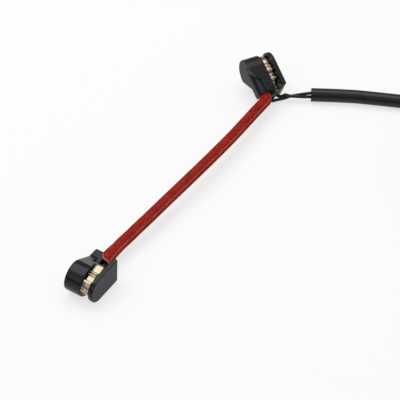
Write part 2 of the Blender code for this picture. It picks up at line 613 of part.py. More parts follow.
def make_plug(matrix, mats, parts, cutters):
    barrel = slab_u("plug_housing", [round_box(7.0 * MM, 4.4 * MM, 4.2 * MM)], 0.0, 13 * MM, parts, matrix)
    collar = slab_u("plug_collar", [round_box(9.3 * MM, 6.8 * MM, 4.0 * MM)], 10 * MM, 12.6 * MM, cutters, matrix)
    bevel(collar, 0.3 * MM, 2)
    shroud = slab_u("plug_shroud", [round_box(8.8 * MM, 6.8 * MM, 3.6 * MM)], 12 * MM, 31 * MM, cutters, matrix)
    bevel(shroud, 0.3 * MM, 2)
    hollow = slab_u("plug_hollow", [round_box(7.6 * MM, 5.6 * MM, 2.8 * MM)], 14.5 * MM, 33 * MM, cutters, matrix)
    inner = slab_u("plug_core", [round_box(4.9 * MM, 2.9 * MM, 1.6 * MM)], 13 * MM, 28 * MM, cutters, matrix)
    boolean(barrel, collar, "UNION")
    boolean(barrel, shroud, "UNION")
    boolean(barrel, hollow, "DIFFERENCE")
    boolean(barrel, inner, "UNION")
    arm = [(12.2, 6.4), (12.2, 9.0), (13.0, 9.5), (27.5, 9.1), (27.5, 8.0), (15.6, 8.2), (15.0, 7.6), (15.0, 6.4)]
    latch = slab_v("plug_latch", [[(x * MM, y * MM) for x, y in arm]], -2.8 * MM, 2.8 * MM, cutters, matrix)
    hook = [(19.0, 8.8), (19.0, 10.2), (19.8, 10.2), (22.6, 8.8)]
    tooth = slab_v("plug_tooth", [[(x * MM, y * MM) for x, y in hook]], -2.0 * MM, 2.0 * MM, cutters, matrix)
    boolean(barrel, latch, "UNION")
    boolean(barrel, tooth, "UNION")
    for side in (-1, 1):
        where = matrix @ Matrix.Translation((0.0, side * CONTACT_SIDE, 0.0))
        hole = slab_u(f"plug_hole_{side}", [circle(1.3 * MM)], -1 * MM, 30 * MM, cutters, where)
        seat = slab_u(f"plug_seat_{side}", [circle(2.1 * MM)], -1 * MM, 8 * MM, cutters, where)
        boolean(barrel, hole, "DIFFERENCE")
        boolean(barrel, seat, "DIFFERENCE")
    shade(barrel, 30.0)
    paint(barrel, mats["plug"])

    cover = slab_u("plug_seal_cover", [round_box(8.0 * MM, 5.4 * MM, 5.0 * MM)], -2.6 * MM, 6 * MM, parts, matrix)
    bevel(cover, 0.3 * MM, 2)
    inside = slab_u("cover_hollow", [round_box(7.3 * MM, 4.7 * MM, 4.5 * MM)], -0.4 * MM, 8 * MM, cutters, matrix)
    boolean(cover, inside, "DIFFERENCE")
    lock = slab_u("plug_secondary_lock", [round_box(6.2 * MM, 4.2 * MM, 2.2 * MM)], 22 * MM, 29.6 * MM, parts, matrix)
    bevel(lock, 0.25 * MM, 2)
    lock_in = slab_u("lock_hollow", [round_box(5.2 * MM, 3.2 * MM, 1.9 * MM)], 20 * MM, 28.3 * MM, cutters, matrix)
    boolean(lock, lock_in, "DIFFERENCE")
    for side in (-1, 1):
        where = matrix @ Matrix.Translation((0.0, side * CONTACT_SIDE, 0.0))
        through = slab_u(f"cover_hole_{side}", [circle(1.2 * MM)], -4 * MM, 2 * MM, cutters, where)
        boolean(cover, through, "DIFFERENCE")
        entry = slab_u(f"lock_hole_{side}", [circle(0.9 * MM)], 27 * MM, 31 * MM, cutters, where)
        boolean(lock, entry, "DIFFERENCE")
    shade(cover, 30.0)
    shade(lock, 30.0)
    paint(cover, mats["cover"])
    paint(lock, mats["lock"])

    seal = slab_u("plug_front_seal", [round_box(6.7 * MM, 4.7 * MM, 2.6 * MM), round_box(5.2 * MM, 3.2 * MM, 1.8 * MM)],
                  14.9 * MM, 18.4 * MM, parts, matrix)
    shade(seal, 30.0)
    paint(seal, mats["seal"])
    for number, side in ((1, -1), (2, 1)):
        where = matrix @ Matrix.Translation((0.0, side * CONTACT_SIDE, 0.0))
        ribs = [(1.1, 0.6), (1.75, 0.9), (1.75, 1.5), (1.45, 2.1), (1.75, 2.7), (1.75, 3.3), (1.45, 3.9)]
        ribs += [(1.75, 4.5), (1.75, 5.1), (1.5, 5.7), (1.1, 6.2)]
        turned(f"plug_wire_seal_{number}", [(r * MM, x * MM) for r, x in reversed(ribs)], where, mats["seal"], parts)
        pin = [(0.55, 9.2), (0.95, 9.2), (0.95, 27.4), (0.55, 27.4)]
        turned(f"plug_terminal_{number}", [(r * MM, x * MM) for r, x in reversed(pin)], where, mats["metal"], parts, 16)


def build():
    clear_scene()
    parts = new_collection(COLLECTION)
    cutters = new_collection("cutters")
    mats = {
        "head": material("head_black_plastic", (0.030, 0.031, 0.034), 0.42),
        "clip": material("clip_bronze", (0.78, 0.62, 0.42), 0.28, 1.0),
        "wire": material("wire_black", (0.020, 0.020, 0.021), 0.45),
        "sleeve": material("sleeve_red_braid", (0.42, 0.030, 0.016), 0.75),
        "sheath": material("sheath_black", (0.018, 0.018, 0.019), 0.40),
        "tie": material("tie_black", (0.025, 0.025, 0.026), 0.5),
        "collar": material("collar_black", (0.022, 0.022, 0.023), 0.5),
        "plug": material("plug_black", (0.028, 0.028, 0.030), 0.45),
        "cover": material("cover_grey", (0.10, 0.10, 0.11), 0.5),
        "lock": material("lock_white", (0.62, 0.60, 0.55), 0.5),
        "seal": material("seal_green", (0.05, 0.20, 0.15), 0.6),
        "metal": material("terminal_tin", (0.70, 0.69, 0.66), 0.3, 1.0),
    }
    end_matrix = head_matrix(END_PLACE, END_TURN)
    mid_matrix = head_matrix(MID_PLACE, MID_TURN)

    # The wire is laid first, because the tunnels in the heads follow it with clearance on all sides.
    link = sleeve_route(end_matrix, mid_matrix)
    line = smooth_route(wire_route(end_matrix, mid_matrix, smooth_route(link, LINK_STEP)), WIRE_STEP)
    wire = tube("sense_wire", line, WIRE_RADIUS, parts, 1)
    paint(wire, mats["wire"])
    end_tunnel = tunnel_path(line, end_matrix, END_TUNNEL_MOUTH)
    mid_tunnel = tunnel_path(line, mid_matrix, MID_TUNNEL_MOUTH)
    make_head_body("end_head_body", end_matrix, END_NECK, END_UNDERSIDE, end_tunnel, mats["head"], parts, cutters)
    make_head_body("mid_head_body", mid_matrix, MID_NECK, MID_UNDERSIDE, mid_tunnel, mats["head"], parts, cutters)
    make_clip("end_head_clip", end_matrix, mats["clip"], parts)
    make_clip("mid_head_clip", mid_matrix, mats["clip"], parts)

    sleeve = tube("link_sleeve", smooth_route(link, SLEEVE_STEP), SLEEVE_RADIUS, parts, 3, False)
    wall = sleeve.modifiers.new("wall", "SOLIDIFY")
    wall.thickness = SLEEVE_WALL
    wall.offset = -1.0
    wall.use_rim = True
    paint(sleeve, mats["sleeve"])

    lead = smooth_route(lead_in_route(), SHEATH_STEP)
    run = tube_mesh("lead_sheath_run", lead, SHEATH_RADIUS, parts, 4)
    bore_end = smooth_route(lead_in_route(), SHEATH_STEP / 2)
    outward = bore_end[0] - (bore_end[1] - bore_end[0]).normalized() * 2 * MM
    bore = tube_mesh("sheath_bore", [outward, bore_end[0]] + bore_end[1:5], SHEATH_BORE, cutters, 4)
    boolean(run, bore, "DIFFERENCE")
    shade(run, 40.0)
    paint(run, mats["sheath"])
    make_ring("lead_coil", mats["sheath"], parts)
    tail = tube("lead_sheath_tail", smooth_route(tail_route(), SHEATH_STEP), SHEATH_RADIUS, parts, 3)
    paint(tail, mats["sheath"])
    make_tie("coil_tie", mats["tie"], parts, cutters)

    start, heading = tail_frame()
    heel = start + heading * (TAIL_LENGTH + PLUG_DISTANCE) + Vector((0, 0, TAIL_HEIGHT))
    facing = math.atan2(heading.y, heading.x)
    plug = Matrix.Translation(heel) @ Matrix.Rotation(facing, 4, "Z")
    make_plug(plug, mats, parts, cutters)
    for number, side in ((1, -1), (2, 1)):
        where = mm_points([(-12.6, side * 0.9, 0.0), (-9.5, side * 0.95, 0.0), (-6.0, side * 1.7, 0.0),
                           (-2.8, side * 2.3, 0.0), (8.6, side * 2.3, 0.0)])
        line = [plug @ p for p in smooth_route(where, 1.8 * MM)]
        lead_wire = tube(f"plug_wire_{number}", line, WIRE_RADIUS, parts, 2)
        paint(lead_wire, mats["wire"])
    ring = [(3.55, -19.5), (4.15, -19.5), (4.15, -12.2), (3.4, -9.8), (2.6, -9.0), (2.0, -9.0), (2.0, -12.3)]
    ring.append((3.55, -12.7))
    turned("lead_shrink_collar", [(r * MM, x * MM) for r, x in reversed(ring)], plug, mats["collar"], parts)

    for obj in list(parts.objects) + list(cutters.objects):
        obj.matrix_world = Matrix.Translation(-ORIGIN) @ obj.matrix_world
    for obj in cutters.objects:
        obj.hide_render = True
        obj.display_type = "WIRE"


build()
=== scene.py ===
# %% [markdown]
# # Brake pad wear sensor
# Two moulded heads sit in a brake pad each. One thin wire runs through both, and when a pad is worn down
# the wire is cut and the lamp on the dashboard lights. A red glass-fibre sleeve guards the wire between
# the heads, and a black sheath guards the two ends on their way to the plug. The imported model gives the
# frame, in metres.

import json
import math

import bmesh
import bpy
import numpy as np
from mathutils import Matrix, Vector

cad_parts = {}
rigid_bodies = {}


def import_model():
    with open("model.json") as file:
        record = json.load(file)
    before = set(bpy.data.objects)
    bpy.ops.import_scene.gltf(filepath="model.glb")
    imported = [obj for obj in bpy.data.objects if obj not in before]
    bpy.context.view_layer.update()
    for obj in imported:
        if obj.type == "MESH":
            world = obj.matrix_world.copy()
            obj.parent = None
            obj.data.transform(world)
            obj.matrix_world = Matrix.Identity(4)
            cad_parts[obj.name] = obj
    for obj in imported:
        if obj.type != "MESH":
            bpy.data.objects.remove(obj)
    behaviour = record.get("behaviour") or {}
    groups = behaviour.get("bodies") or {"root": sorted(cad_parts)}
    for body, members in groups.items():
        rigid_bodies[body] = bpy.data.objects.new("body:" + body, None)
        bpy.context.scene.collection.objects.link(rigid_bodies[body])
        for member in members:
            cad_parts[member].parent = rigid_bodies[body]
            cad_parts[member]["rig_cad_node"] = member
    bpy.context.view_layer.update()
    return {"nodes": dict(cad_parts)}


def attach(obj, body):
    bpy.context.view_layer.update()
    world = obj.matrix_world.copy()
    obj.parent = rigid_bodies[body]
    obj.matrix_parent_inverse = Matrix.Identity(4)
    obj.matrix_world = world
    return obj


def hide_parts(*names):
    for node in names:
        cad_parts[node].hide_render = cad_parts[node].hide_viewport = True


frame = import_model()

# %% [markdown]
# ## Sizes and places
# The heads are drawn in a frame of their own. u runs from the round front to the end where the wires
# leave, v from the thick lobe's outer face to the thin plate's, and w across. Each head's matrix puts
# that frame where it lies.

# %% Sizes
MM = 0.001
ORIGIN = Vector((1.43, 9.65, -0.08)) * MM
END_TURN = (58.1, 0.0, 182.5)
END_PLACE = Vector((-47.9, -43.43, 7.4)) * MM - ORIGIN
MID_TURN = (-63.9, 26.2, -0.4)
MID_PLACE = Vector((26.56, 64.26, 5.99)) * MM - ORIGIN
END_NECK = 5.2 * MM
MID_NECK = 1.0 * MM
LOBE_THICK = 8.4 * MM
GROOVE_WIDTH = 4.1 * MM
HEAD_WIDTH = 14.7 * MM
SLOT_NEAR = 3.25 * MM
SLOT_FAR = 6.3 * MM
SLOT_AXIS_W = 2.45 * MM
POCKET_LENGTH = 8.8 * MM
CLIP_STRIP = 0.35 * MM
CLIP_SIDE_GAP = 0.25 * MM
WIRE_RADIUS = 0.75 * MM
WIRE_SIDE = 0.85 * MM
LOOP_NEAR = 2.4 * MM
LOOP_FAR = 5.4 * MM
LOOP_REACH = 13.8 * MM
SLEEVE_RADIUS = 2.5 * MM
SLEEVE_DEPTH = 1.2 * MM
SHEATH_RADIUS = 3.25 * MM
SHEATH_BORE = 2.5 * MM
COIL_RADIUS = 35.0 * MM
COIL_LAYERS = 3
COIL_TURNS = 2.25
COIL_LIFT = 0.9 * MM
COIL_TANGENT = Vector((145.0, 56.0, 0.0)) * MM - ORIGIN
COIL_HEADING = math.radians(-10.0)
TAIL_LENGTH = 60.0 * MM
TAIL_HEIGHT = 7.1 * MM
PLUG_DISTANCE = 13.0 * MM


def head_matrix(place, turn):
    yaw, pitch, roll = (math.radians(a) for a in turn)
    turned = Matrix.Rotation(yaw, 4, "Z") @ Matrix.Rotation(pitch, 4, "Y") @ Matrix.Rotation(roll, 4, "X")
    return Matrix.Translation(place) @ turned


end_matrix = head_matrix(END_PLACE, END_TURN)
mid_matrix = head_matrix(MID_PLACE, MID_TURN)
print("heads are", round((MID_PLACE - END_PLACE).length / MM, 1), "mm apart")

# %% [markdown]
# ## Camera
# A long lens looks down at 43 degrees from the front, as for a catalogue picture. It stands in its own
# cell, first of all, because how the free cord may lie depends on what the camera sees.

# %% Camera
ELEVATION = math.radians(43.27)
DISTANCE = 0.9
camera_data = bpy.data.cameras.new("camera")
camera_data.lens = 179.37
camera_data.sensor_width = 36.0
camera_data.clip_start = 0.01
camera = bpy.data.objects.new("camera", camera_data)
camera.location = Vector((0.0, -DISTANCE * math.cos(ELEVATION), DISTANCE * math.sin(ELEVATION))) - ORIGIN
camera.rotation_euler = (math.radians(90) - ELEVATION, 0.0, 0.0)
bpy.context.scene.collection.objects.link(camera)
bpy.context.scene.camera = camera
bpy.context.scene.view_settings.view_transform = "Standard"
print("camera", DISTANCE, "m away, looking down", round(math.degrees(ELEVATION), 1), "degrees")

# %% [markdown]
# ## Small helpers for modelling
# An operator works on all that is selected, and the loaded nodes are selected, so each piece starts with
# a clean selection. Modifiers are applied one by one, and the finished piece keeps its place in its mesh.

# %% Modelling helpers


def only(piece):
    """Selects one piece and makes it active."""
    if bpy.context.object is not None and bpy.context.object.mode != "OBJECT":
        bpy.ops.object.mode_set(mode="OBJECT")
    bpy.ops.object.select_all(action="DESELECT")
    piece.select_set(True)
    bpy.context.view_layer.objects.active = piece


def apply_modifier(piece, kind, **settings):
    """Adds a modifier with these settings and applies it."""
    only(piece)
    modifier = piece.modifiers.new(kind.lower(), kind)
    for name, value in settings.items():
        setattr(modifier, name, value)
    bpy.ops.object.modifier_apply(modifier=modifier.name)


def settle(piece, matrix):
    """Moves a finished piece to its place, in its mesh."""
    piece.data.transform(matrix)
    piece.matrix_world = Matrix.Identity(4)


def copy_of(node, name):
    """A merged copy of a node's mesh, as a new piece."""
    piece = bpy.data.objects.new(name, frame["nodes"][node].data.copy())
    bpy.context.scene.collection.objects.link(piece)
    piece.data.materials.clear()
    only(piece)
    bpy.ops.object.mode_set(mode="EDIT")
    bpy.ops.mesh.select_all(action="SELECT")
    bpy.ops.mesh.remove_doubles(threshold=0.000005)
    bpy.ops.object.mode_set(mode="OBJECT")
    return piece


def smooth(piece, angle=35.0):
    only(piece)
    bpy.ops.object.shade_smooth_by_angle(angle=math.radians(angle))


def triangles(piece):
    return sum(len(face.vertices) - 2 for face in piece.data.polygons)


def dress(piece, slot, material, *nodes):
    """Hangs a finished piece on the body, with its material and the nodes that it stands for."""
    piece.data.materials.clear()
    piece.data.materials.append(material)
    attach(piece, "root")
    if nodes:
        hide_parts(*nodes)
    print(piece.name, triangles(piece), "triangles")


# %% [markdown]
# ## A small language for materials
# Shader maths reads best as ordinary expressions. A Signal wraps one output socket, and adding or
# multiplying two of them adds a Math node. Every other node comes from one method, which sets the node's
# own settings first and then its sockets. Finish is the set of nodes that makes a material, and the world
# uses the same method for its sky.

# %% Material helpers


class Signal:
    """One output socket, which adds Math nodes when it is used in an expression."""

    def __init__(self, nodes, socket):
        self.nodes = nodes
        self.socket = socket

    def output(self, name):
        """Another output of the same node."""
        return Signal(self.nodes, self.socket.node.outputs[name])

    def math(self, operation, *others):
        values = dict(enumerate((self,) + others))
        return self.nodes.node("ShaderNodeMath", {"operation": operation}, values)

    def __add__(self, other):
        return self.math("ADD", other)

    __radd__ = __add__

    def __mul__(self, other):
        return self.math("MULTIPLY", other)

    __rmul__ = __mul__

    def __sub__(self, other):
        return self.math("SUBTRACT", other)

    def __rsub__(self, other):
        return self.nodes.node("ShaderNodeMath", {"operation": "SUBTRACT"}, {0: other, 1: self})

    def clamp(self, low=0.0, high=1.0):
        return self.math("MAXIMUM", low).math("MINIMUM", high)

    def above(self, edge, soft):
        """0 below the edge and 1 above it, over a soft range."""
        return ((self - (edge - soft)) * (1.0 / (2 * soft))).clamp()


class Nodes:
    """The nodes of one material or of the world."""

    def __init__(self, tree):
        self.tree = tree

    def node(self, kind, settings=None, values=None, out=0):
        made = self.tree.nodes.new(kind)
        for name, value in (settings or {}).items():
            setattr(made, name, value)
        for name, value in (values or {}).items():
            if isinstance(value, Signal):
                self.tree.links.new(value.socket, made.inputs[name])
            else:
                made.inputs[name].default_value = value
        return Signal(self, made.outputs[out])

    def plug(self, target, **links):
        """Links signals to sockets of a node that is already there."""
        for socket, signal in links.items():
            self.tree.links.new(signal.socket, target.inputs[socket.replace("_", " ")])

    def split(self, vector):
        """The three numbers of a vector."""
        first = self.node("ShaderNodeSeparateXYZ", {}, {0: vector})
        return [first, first.output(1), first.output(2)]


class Finish(Nodes):
    """A material: constants go to the shader's sockets, and signals are fed to them."""

    def __init__(self, name, **constants):
        self.material = bpy.data.materials.new(name)
        self.material.use_nodes = True
        super().__init__(self.material.node_tree)
        self.shader = self.tree.nodes["Principled BSDF"]
        for socket, value in constants.items():
            self.shader.inputs[socket.replace("_", " ")].default_value = value

    def place(self):
        return self.node("ShaderNodeTexCoord", out="Object")

    def join(self, x, y, z):
        return self.node("ShaderNodeCombineXYZ", {}, {0: x, 1: y, 2: z})

    def noise(self, where, scale, detail=3.0, roughness=0.55):
        values = {"Vector": where, "Scale": scale, "Detail": detail, "Roughness": roughness}
        return self.node("ShaderNodeTexNoise", {}, values)

    def mix(self, factor, a, b):
        """Mixes two colours; each is three numbers or a Signal."""
        a = a if isinstance(a, Signal) else (*a, 1.0)
        b = b if isinstance(b, Signal) else (*b, 1.0)
        return self.node("ShaderNodeMix", {"data_type": "RGBA"}, {0: factor, 6: a, 7: b}, out=2)

    def bump(self, height, strength, distance):
        values = {"Height": height, "Strength": strength, "Distance": distance}
        return self.node("ShaderNodeBump", {}, values)

    def feed(self, **links):
        self.plug(self.shader, **links)
        print("material", self.material.name, "with", len(self.tree.nodes), "nodes")
        return self.material


# %% [markdown]
# ## The routes of wire and sheath
# A cord is drawn along one smooth curve. The given points are joined by a curve that passes through each
# of them and doesn't overshoot where they are unevenly spaced, and then read at an even step.

# %% Smooth route


def smooth_route(points, step):
    """Reads points at an even step from a smooth curve through the given ones."""
    fine = []
    count = len(points)
    for i in range(count - 1):
        p0 = points[max(i - 1, 0)]
        p1 = points[i]
        p2 = points[i + 1]
        p3 = points[min(i + 2, count - 1)]
        length = (p2 - p1).length
        pieces = max(int(length / (step * 0.2)), 4)
        d01 = max((p1 - p0).length, 1e-7) ** 0.5
        d12 = max(length, 1e-7) ** 0.5
        d23 = max((p3 - p2).length, 1e-7) ** 0.5
        m1 = (p2 - p1)
        m2 = (p2 - p1)
        if i > 0:
            m1 = ((p1 - p0) / d01 - (p2 - p0) / (d01 + d12) + (p2 - p1) / d12) * d12
        if i < count - 2:
            m2 = ((p2 - p1) / d12 - (p3 - p1) / (d12 + d23) + (p3 - p2) / d23) * d12
        for k in range(pieces):
            t = k / pieces
            a = 2 * t ** 3 - 3 * t ** 2 + 1
            b = t ** 3 - 2 * t ** 2 + t
            c = -2 * t ** 3 + 3 * t ** 2
            d = t ** 3 - t ** 2
            fine.append(p1 * a + m1 * b + p2 * c + m2 * d)
    fine.append(points[-1])
    total = sum((b - a).length for a, b in zip(fine, fine[1:]))
    parts = max(round(total / step), 2)
    spaced = [fine[0]]
    target = total / parts
    run = 0.0
    for a, b in zip(fine, fine[1:]):
        length = (b - a).length
        while run + length >= target * len(spaced) and len(spaced) < parts:
            spaced.append(a + (b - a) * ((target * len(spaced) - run) / length))
        run += length
    spaced.append(fine[-1])
    return spaced


def local_points(rows):
    return [Vector(row) * MM for row in rows]


def head_points(matrix, rows):
    """Points in millimetres of a head's own frame, moved to where that head lies."""
    return [matrix @ point for point in local_points(rows)]


def world_points(rows):
    return [Vector(row) * MM - ORIGIN for row in rows]


# %% [markdown]
# ## The link and the wire inside it
# The red sleeve runs from a slot in the end head to the pipe of the middle head, in a slight bow. Its
# points follow the sleeve as the picture shows it, and the wire's two runs lie beside its middle line.
# Inside each head the wire makes one loop, which is the part that the brake disc cuts through.

# %% Route of the link between the heads


def sleeve_route():
    start = END_NECK - SLEEVE_DEPTH
    stop = MID_NECK - SLEEVE_DEPTH
    first = [end_matrix @ Vector((start + x * MM, SLOT_FAR + y * MM, SLOT_AXIS_W + z * MM))
             for x, y, z in ((-2.4, 0.1, -0.5), (0.6, 0.05, -0.8), (3.6, 0.0, -1.0), (6.6, 0.0, -0.9))]
    middle = world_points([
        (-35.0, -34.4, 5.4), (-31.3, -29.95, 6.0), (-27.6, -25.3, 6.6), (-23.85, -20.65, 7.1),
        (-16.35, -10.7, 7.8), (-8.69, -0.3, 8.2), (-0.95, 10.5, 8.4), (6.88, 21.8, 8.4),
        (14.72, 33.6, 8.3), (22.3, 46.2, 7.8), (26.1, 52.9, 7.3), (29.0, 58.0, 6.8)])
    last = [(3.3, 0.1, -0.2), (1.6, 0.1, 0.0), (0.0, 0.0, 0.0)]
    mouth = [mid_matrix @ Vector((stop + x * MM, SLOT_NEAR + y * MM, SLOT_AXIS_W + z * MM))
             for x, y, z in last]
    return first + middle + mouth


def beside(route, side):
    """The same route moved sideways in the level plane."""
    moved = []
    for i, place in enumerate(route):
        along = route[min(i + 1, len(route) - 1)] - route[max(i - 1, 0)]
        across = Vector((-along.y, along.x, 0.0)).normalized()
        moved.append(place + across * side)
    return moved


def loop_points(neck):
    """The sensing loop in a head's own frame, out near the lobe's outer face and back."""
    middle = (LOOP_NEAR + LOOP_FAR) / 2
    radius = (LOOP_FAR - LOOP_NEAR) / 2
    turn = neck - LOOP_REACH
    points = [Vector((neck - POCKET_LENGTH, LOOP_NEAR, SLOT_AXIS_W)),
              Vector((turn, LOOP_NEAR, SLOT_AXIS_W))]
    for degrees in (240, 210, 180, 150, 120):
        angle = math.radians(degrees)
        u = turn + radius * math.cos(angle)
        v = middle + radius * math.sin(angle)
        points.append(Vector((u, v, SLOT_AXIS_W)))
    points += [Vector((turn, LOOP_FAR, SLOT_AXIS_W)),
               Vector((neck - POCKET_LENGTH - 0.7 * MM, LOOP_FAR, SLOT_AXIS_W))]
    return points


def wire_route(link):
    """One wire: from the sheath through the middle head, the link and the end head, and back."""
    upper = world_points([(61.0, 68.6, 2.65), (57.0, 68.85, 2.65), (54.2, 68.9, 2.65), (51.4, 68.5, 2.9),
                          (48.5, 68.15, 3.2), (45.6, 68.1, 3.5), (42.7, 68.3, 3.6), (40.6, 69.2, 3.6)])
    upper += head_points(mid_matrix, [(2.4, 14.0, -2.4), (2.0, 12.6, -2.8), (0.9, 11.2, -2.8),
                                      (-1.1, 10.2, -1.7), (-2.8, 9.0, 0.1), (-4.1, 7.8, 1.6),
                                      (-5.6, 6.5, 2.3)])
    upper += [mid_matrix @ p for p in reversed(loop_points(MID_NECK))]
    upper += head_points(mid_matrix, [(-5.4, 2.4, 2.45), (-3.0, 2.4, 2.45)])
    out = beside(link, WIRE_SIDE)[::-1]
    end_in = head_points(end_matrix, [(-0.2, 5.0, 2.4), (-1.4, 3.9, 2.45), (-2.6, 2.8, 2.45)])
    end_loop = [end_matrix @ p for p in loop_points(END_NECK)]
    end_out = head_points(end_matrix, [(-2.2, 5.7, 2.45), (-0.4, 6.6, 2.4)])
    back = beside(link, -WIRE_SIDE)
    lower = head_points(mid_matrix, [(-2.0, 4.2, 2.4), (-3.3, 4.5, 1.5), (-3.8, 4.8, 0.0),
                                     (-3.2, 5.1, -1.6), (-1.4, 5.7, -2.7), (1.0, 6.5, -3.2)])
    lower += world_points([(33.95, 66.3, 2.3), (37.0, 67.5, 2.0), (40.0, 68.6, 1.9), (42.7, 69.5, 2.3),
                           (45.6, 69.8, 2.8), (48.5, 69.8, 3.4), (51.4, 69.9, 3.85), (54.2, 70.15, 3.9),
                           (57.0, 70.05, 3.9), (61.0, 69.8, 3.9)])
    return upper + out + end_in + end_loop + end_out + back + lower


link = sleeve_route()
wire_line = wire_route(smooth_route(link, 3.0 * MM))
print("link", round(sum((b - a).length for a, b in zip(link, link[1:])) / MM), "mm long")

# %% [markdown]
# ## The sheath and its coil
# The sheath leaves the middle head as a free cord. What the picture doesn't show is put away in a round
# coil, as the lead is sold, so its turns come from a loop and only the first stretch is a list of points.

# %% Route of the sheath


def coil_centre():
    heading = Vector((math.cos(COIL_HEADING), math.sin(COIL_HEADING), 0.0))
    return COIL_TANGENT + Vector((heading.y, -heading.x, 0.0)) * COIL_RADIUS


def tail_frame():
    """The point where the lead leaves the coil, and its heading there."""
    angle = COIL_HEADING + math.radians(90) - COIL_TURNS * 2 * math.pi
    away = Vector((math.cos(angle), math.sin(angle), 0.0))
    heading = Vector((math.sin(angle), -math.cos(angle), 0.0))
    return coil_centre() + away * COIL_RADIUS, heading


def sheath_route():
    """From the open mouth beside the middle head, round the coil, to the end near the plug."""
    level = SHEATH_RADIUS / MM
    flat = [(52.82, 69.59), (62.79, 69.07), (68.48, 68.67), (74.16, 68.15), (79.8, 67.3), (85.44, 66.4)]
    flat += [(91.08, 65.45), (99.5, 64.02), (110.0, 62.17), (125.0, 59.53)]
    points = world_points([(x, y, level) for x, y in flat])
    turns = int(COIL_TURNS * 16)
    centre = coil_centre()
    low = COIL_LIFT + SHEATH_RADIUS
    for i in range(turns + 1):
        angle = COIL_HEADING + math.radians(90) - COIL_TURNS * 2 * math.pi * i / turns
        share = i / turns
        height = low + 2 * SHEATH_RADIUS * (COIL_LAYERS - 1) * share
        round_place = Vector((math.cos(angle), math.sin(angle), 0.0)) * COIL_RADIUS
        points.append(centre + round_place + Vector((0, 0, height)) - Vector((0, 0, ORIGIN.z)))
    start, heading = tail_frame()
    top = COIL_LIFT + SHEATH_RADIUS * (2 * COIL_LAYERS - 1)
    for i in range(1, 9):
        t = TAIL_LENGTH * i / 8
        s = min(t / (TAIL_LENGTH * 0.92), 1.0)
        height = top + (TAIL_HEIGHT - top) * (3 * s ** 2 - 2 * s ** 3)
        points.append(start + heading * t + Vector((0, 0, height - ORIGIN.z)))
    return points


sheath_line = sheath_route()
sheath_length = sum((b - a).length for a, b in zip(sheath_line, sheath_line[1:]))
print("sheath", round(sheath_length / MM), "mm long")

# %% [markdown]
# ## A tube with its own map
# A wire, sleeve or sheath is a row of rings along its route. The rings turn as little as they can from
# one to the next, and each face gets a map: one unit round the tube, and one unit for each ten
# millimetres along it. A shape function may raise or sink any point, which gives the sleeve its braid. A
# slant function may push the points of the first end along the route, which gives a cut that isn't
# square.

# %% Tube helper


def ring_frames(route):
    """A side and an up vector at each point, turned as little as possible along the route."""
    tangents = []
    for i in range(len(route)):
        along = route[min(i + 1, len(route) - 1)] - route[max(i - 1, 0)]
        tangents.append(along.normalized())
    up = Vector((0, 0, 1))
    side = tangents[0].cross(up).normalized()
    frames = []
    for tangent in tangents:
        side = (side - tangent * side.dot(tangent)).normalized()
        frames.append((side, side.cross(tangent).normalized()))
    return frames


def tube(name, route, radius, around, shape=None, bore=None, bore_depth=0.0, slant=None):
    """A closed tube along a route. With a bore, the first end is hollow to the given depth."""
    frames = ring_frames(route)
    run = [0.0]
    for a, b in zip(route, route[1:]):
        run.append(run[-1] + (b - a).length)

    def pushed(i, turn):
        """The number of the frame that a point of ring i takes, and the middle that it lies round."""
        if slant is None:
            return i, route[i]
        steps = slant(turn, run[i]) / (run[1] - run[0])
        at = min(i + int(steps), len(route) - 2)
        return at, route[at].lerp(route[at + 1], steps - int(steps))

    rings = []
    if bore:
        deep = max(i for i, s in enumerate(run) if s <= bore_depth)
        for i in range(deep, -1, -1):
            rings.append((i, bore, False))
    for i in range(len(route)):
        rings.append((i, radius, True))
    verts = []
    for i, size, outer in rings:
        for k in range(around):
            turn = 2 * math.pi * k / around
            reach = size + (shape(k / around, run[i]) if shape and outer else 0.0)
            at, centre = pushed(i, k / around)
            side, up = frames[at]
            verts.append(centre + side * (reach * math.cos(turn)) + up * (reach * math.sin(turn)))
    faces = []
    maps = []
    for j in range(len(rings) - 1):
        for k in range(around):
            nxt = (k + 1) % around
            faces.append((j * around + k, j * around + nxt, (j + 1) * around + nxt, (j + 1) * around + k))
            low = run[rings[j][0]] / (10 * MM)
            high = run[rings[j + 1][0]] / (10 * MM)
            u0 = k / around
            u1 = (k + 1) / around
            maps.append(((u0, low), (u1, low), (u1, high), (u0, high)))
    for ring, place, flip in ((0, route[rings[0][0]], True), (len(rings) - 1, route[-1], False)):
        middle = len(verts)
        verts.append(place)
        for k in range(around):
            nxt = (k + 1) % around
            a = ring * around + k
            b = ring * around + nxt
            faces.append((middle, b, a) if flip else (middle, a, b))
            maps.append(((k / around, 0.0),) * 3)
    mesh = bpy.data.meshes.new(name)
    mesh.from_pydata([tuple(v) for v in verts], [], faces)
    layer = mesh.uv_layers.new(name="along")
    layer.data.foreach_set("uv", np.array([c for m in maps for uv in m for c in uv], dtype=np.float32))
    piece = bpy.data.objects.new(name, mesh)
    bpy.context.scene.collection.objects.link(piece)
    only(piece)
    bpy.ops.object.mode_set(mode="EDIT")
    bpy.ops.mesh.select_all(action="SELECT")
    bpy.ops.mesh.normals_make_consistent(inside=False)
    bpy.ops.object.mode_set(mode="OBJECT")
    return piece


# %% [markdown]
# ## Black moulded plastic
# The heads are glass-filled nylon. Its colour is nearly even, so the finish lives in the sheen: faint
# flow clouds, a fine grain from the tool, and small dusty scuffs that take the shine off here and there.

# %% Head plastic


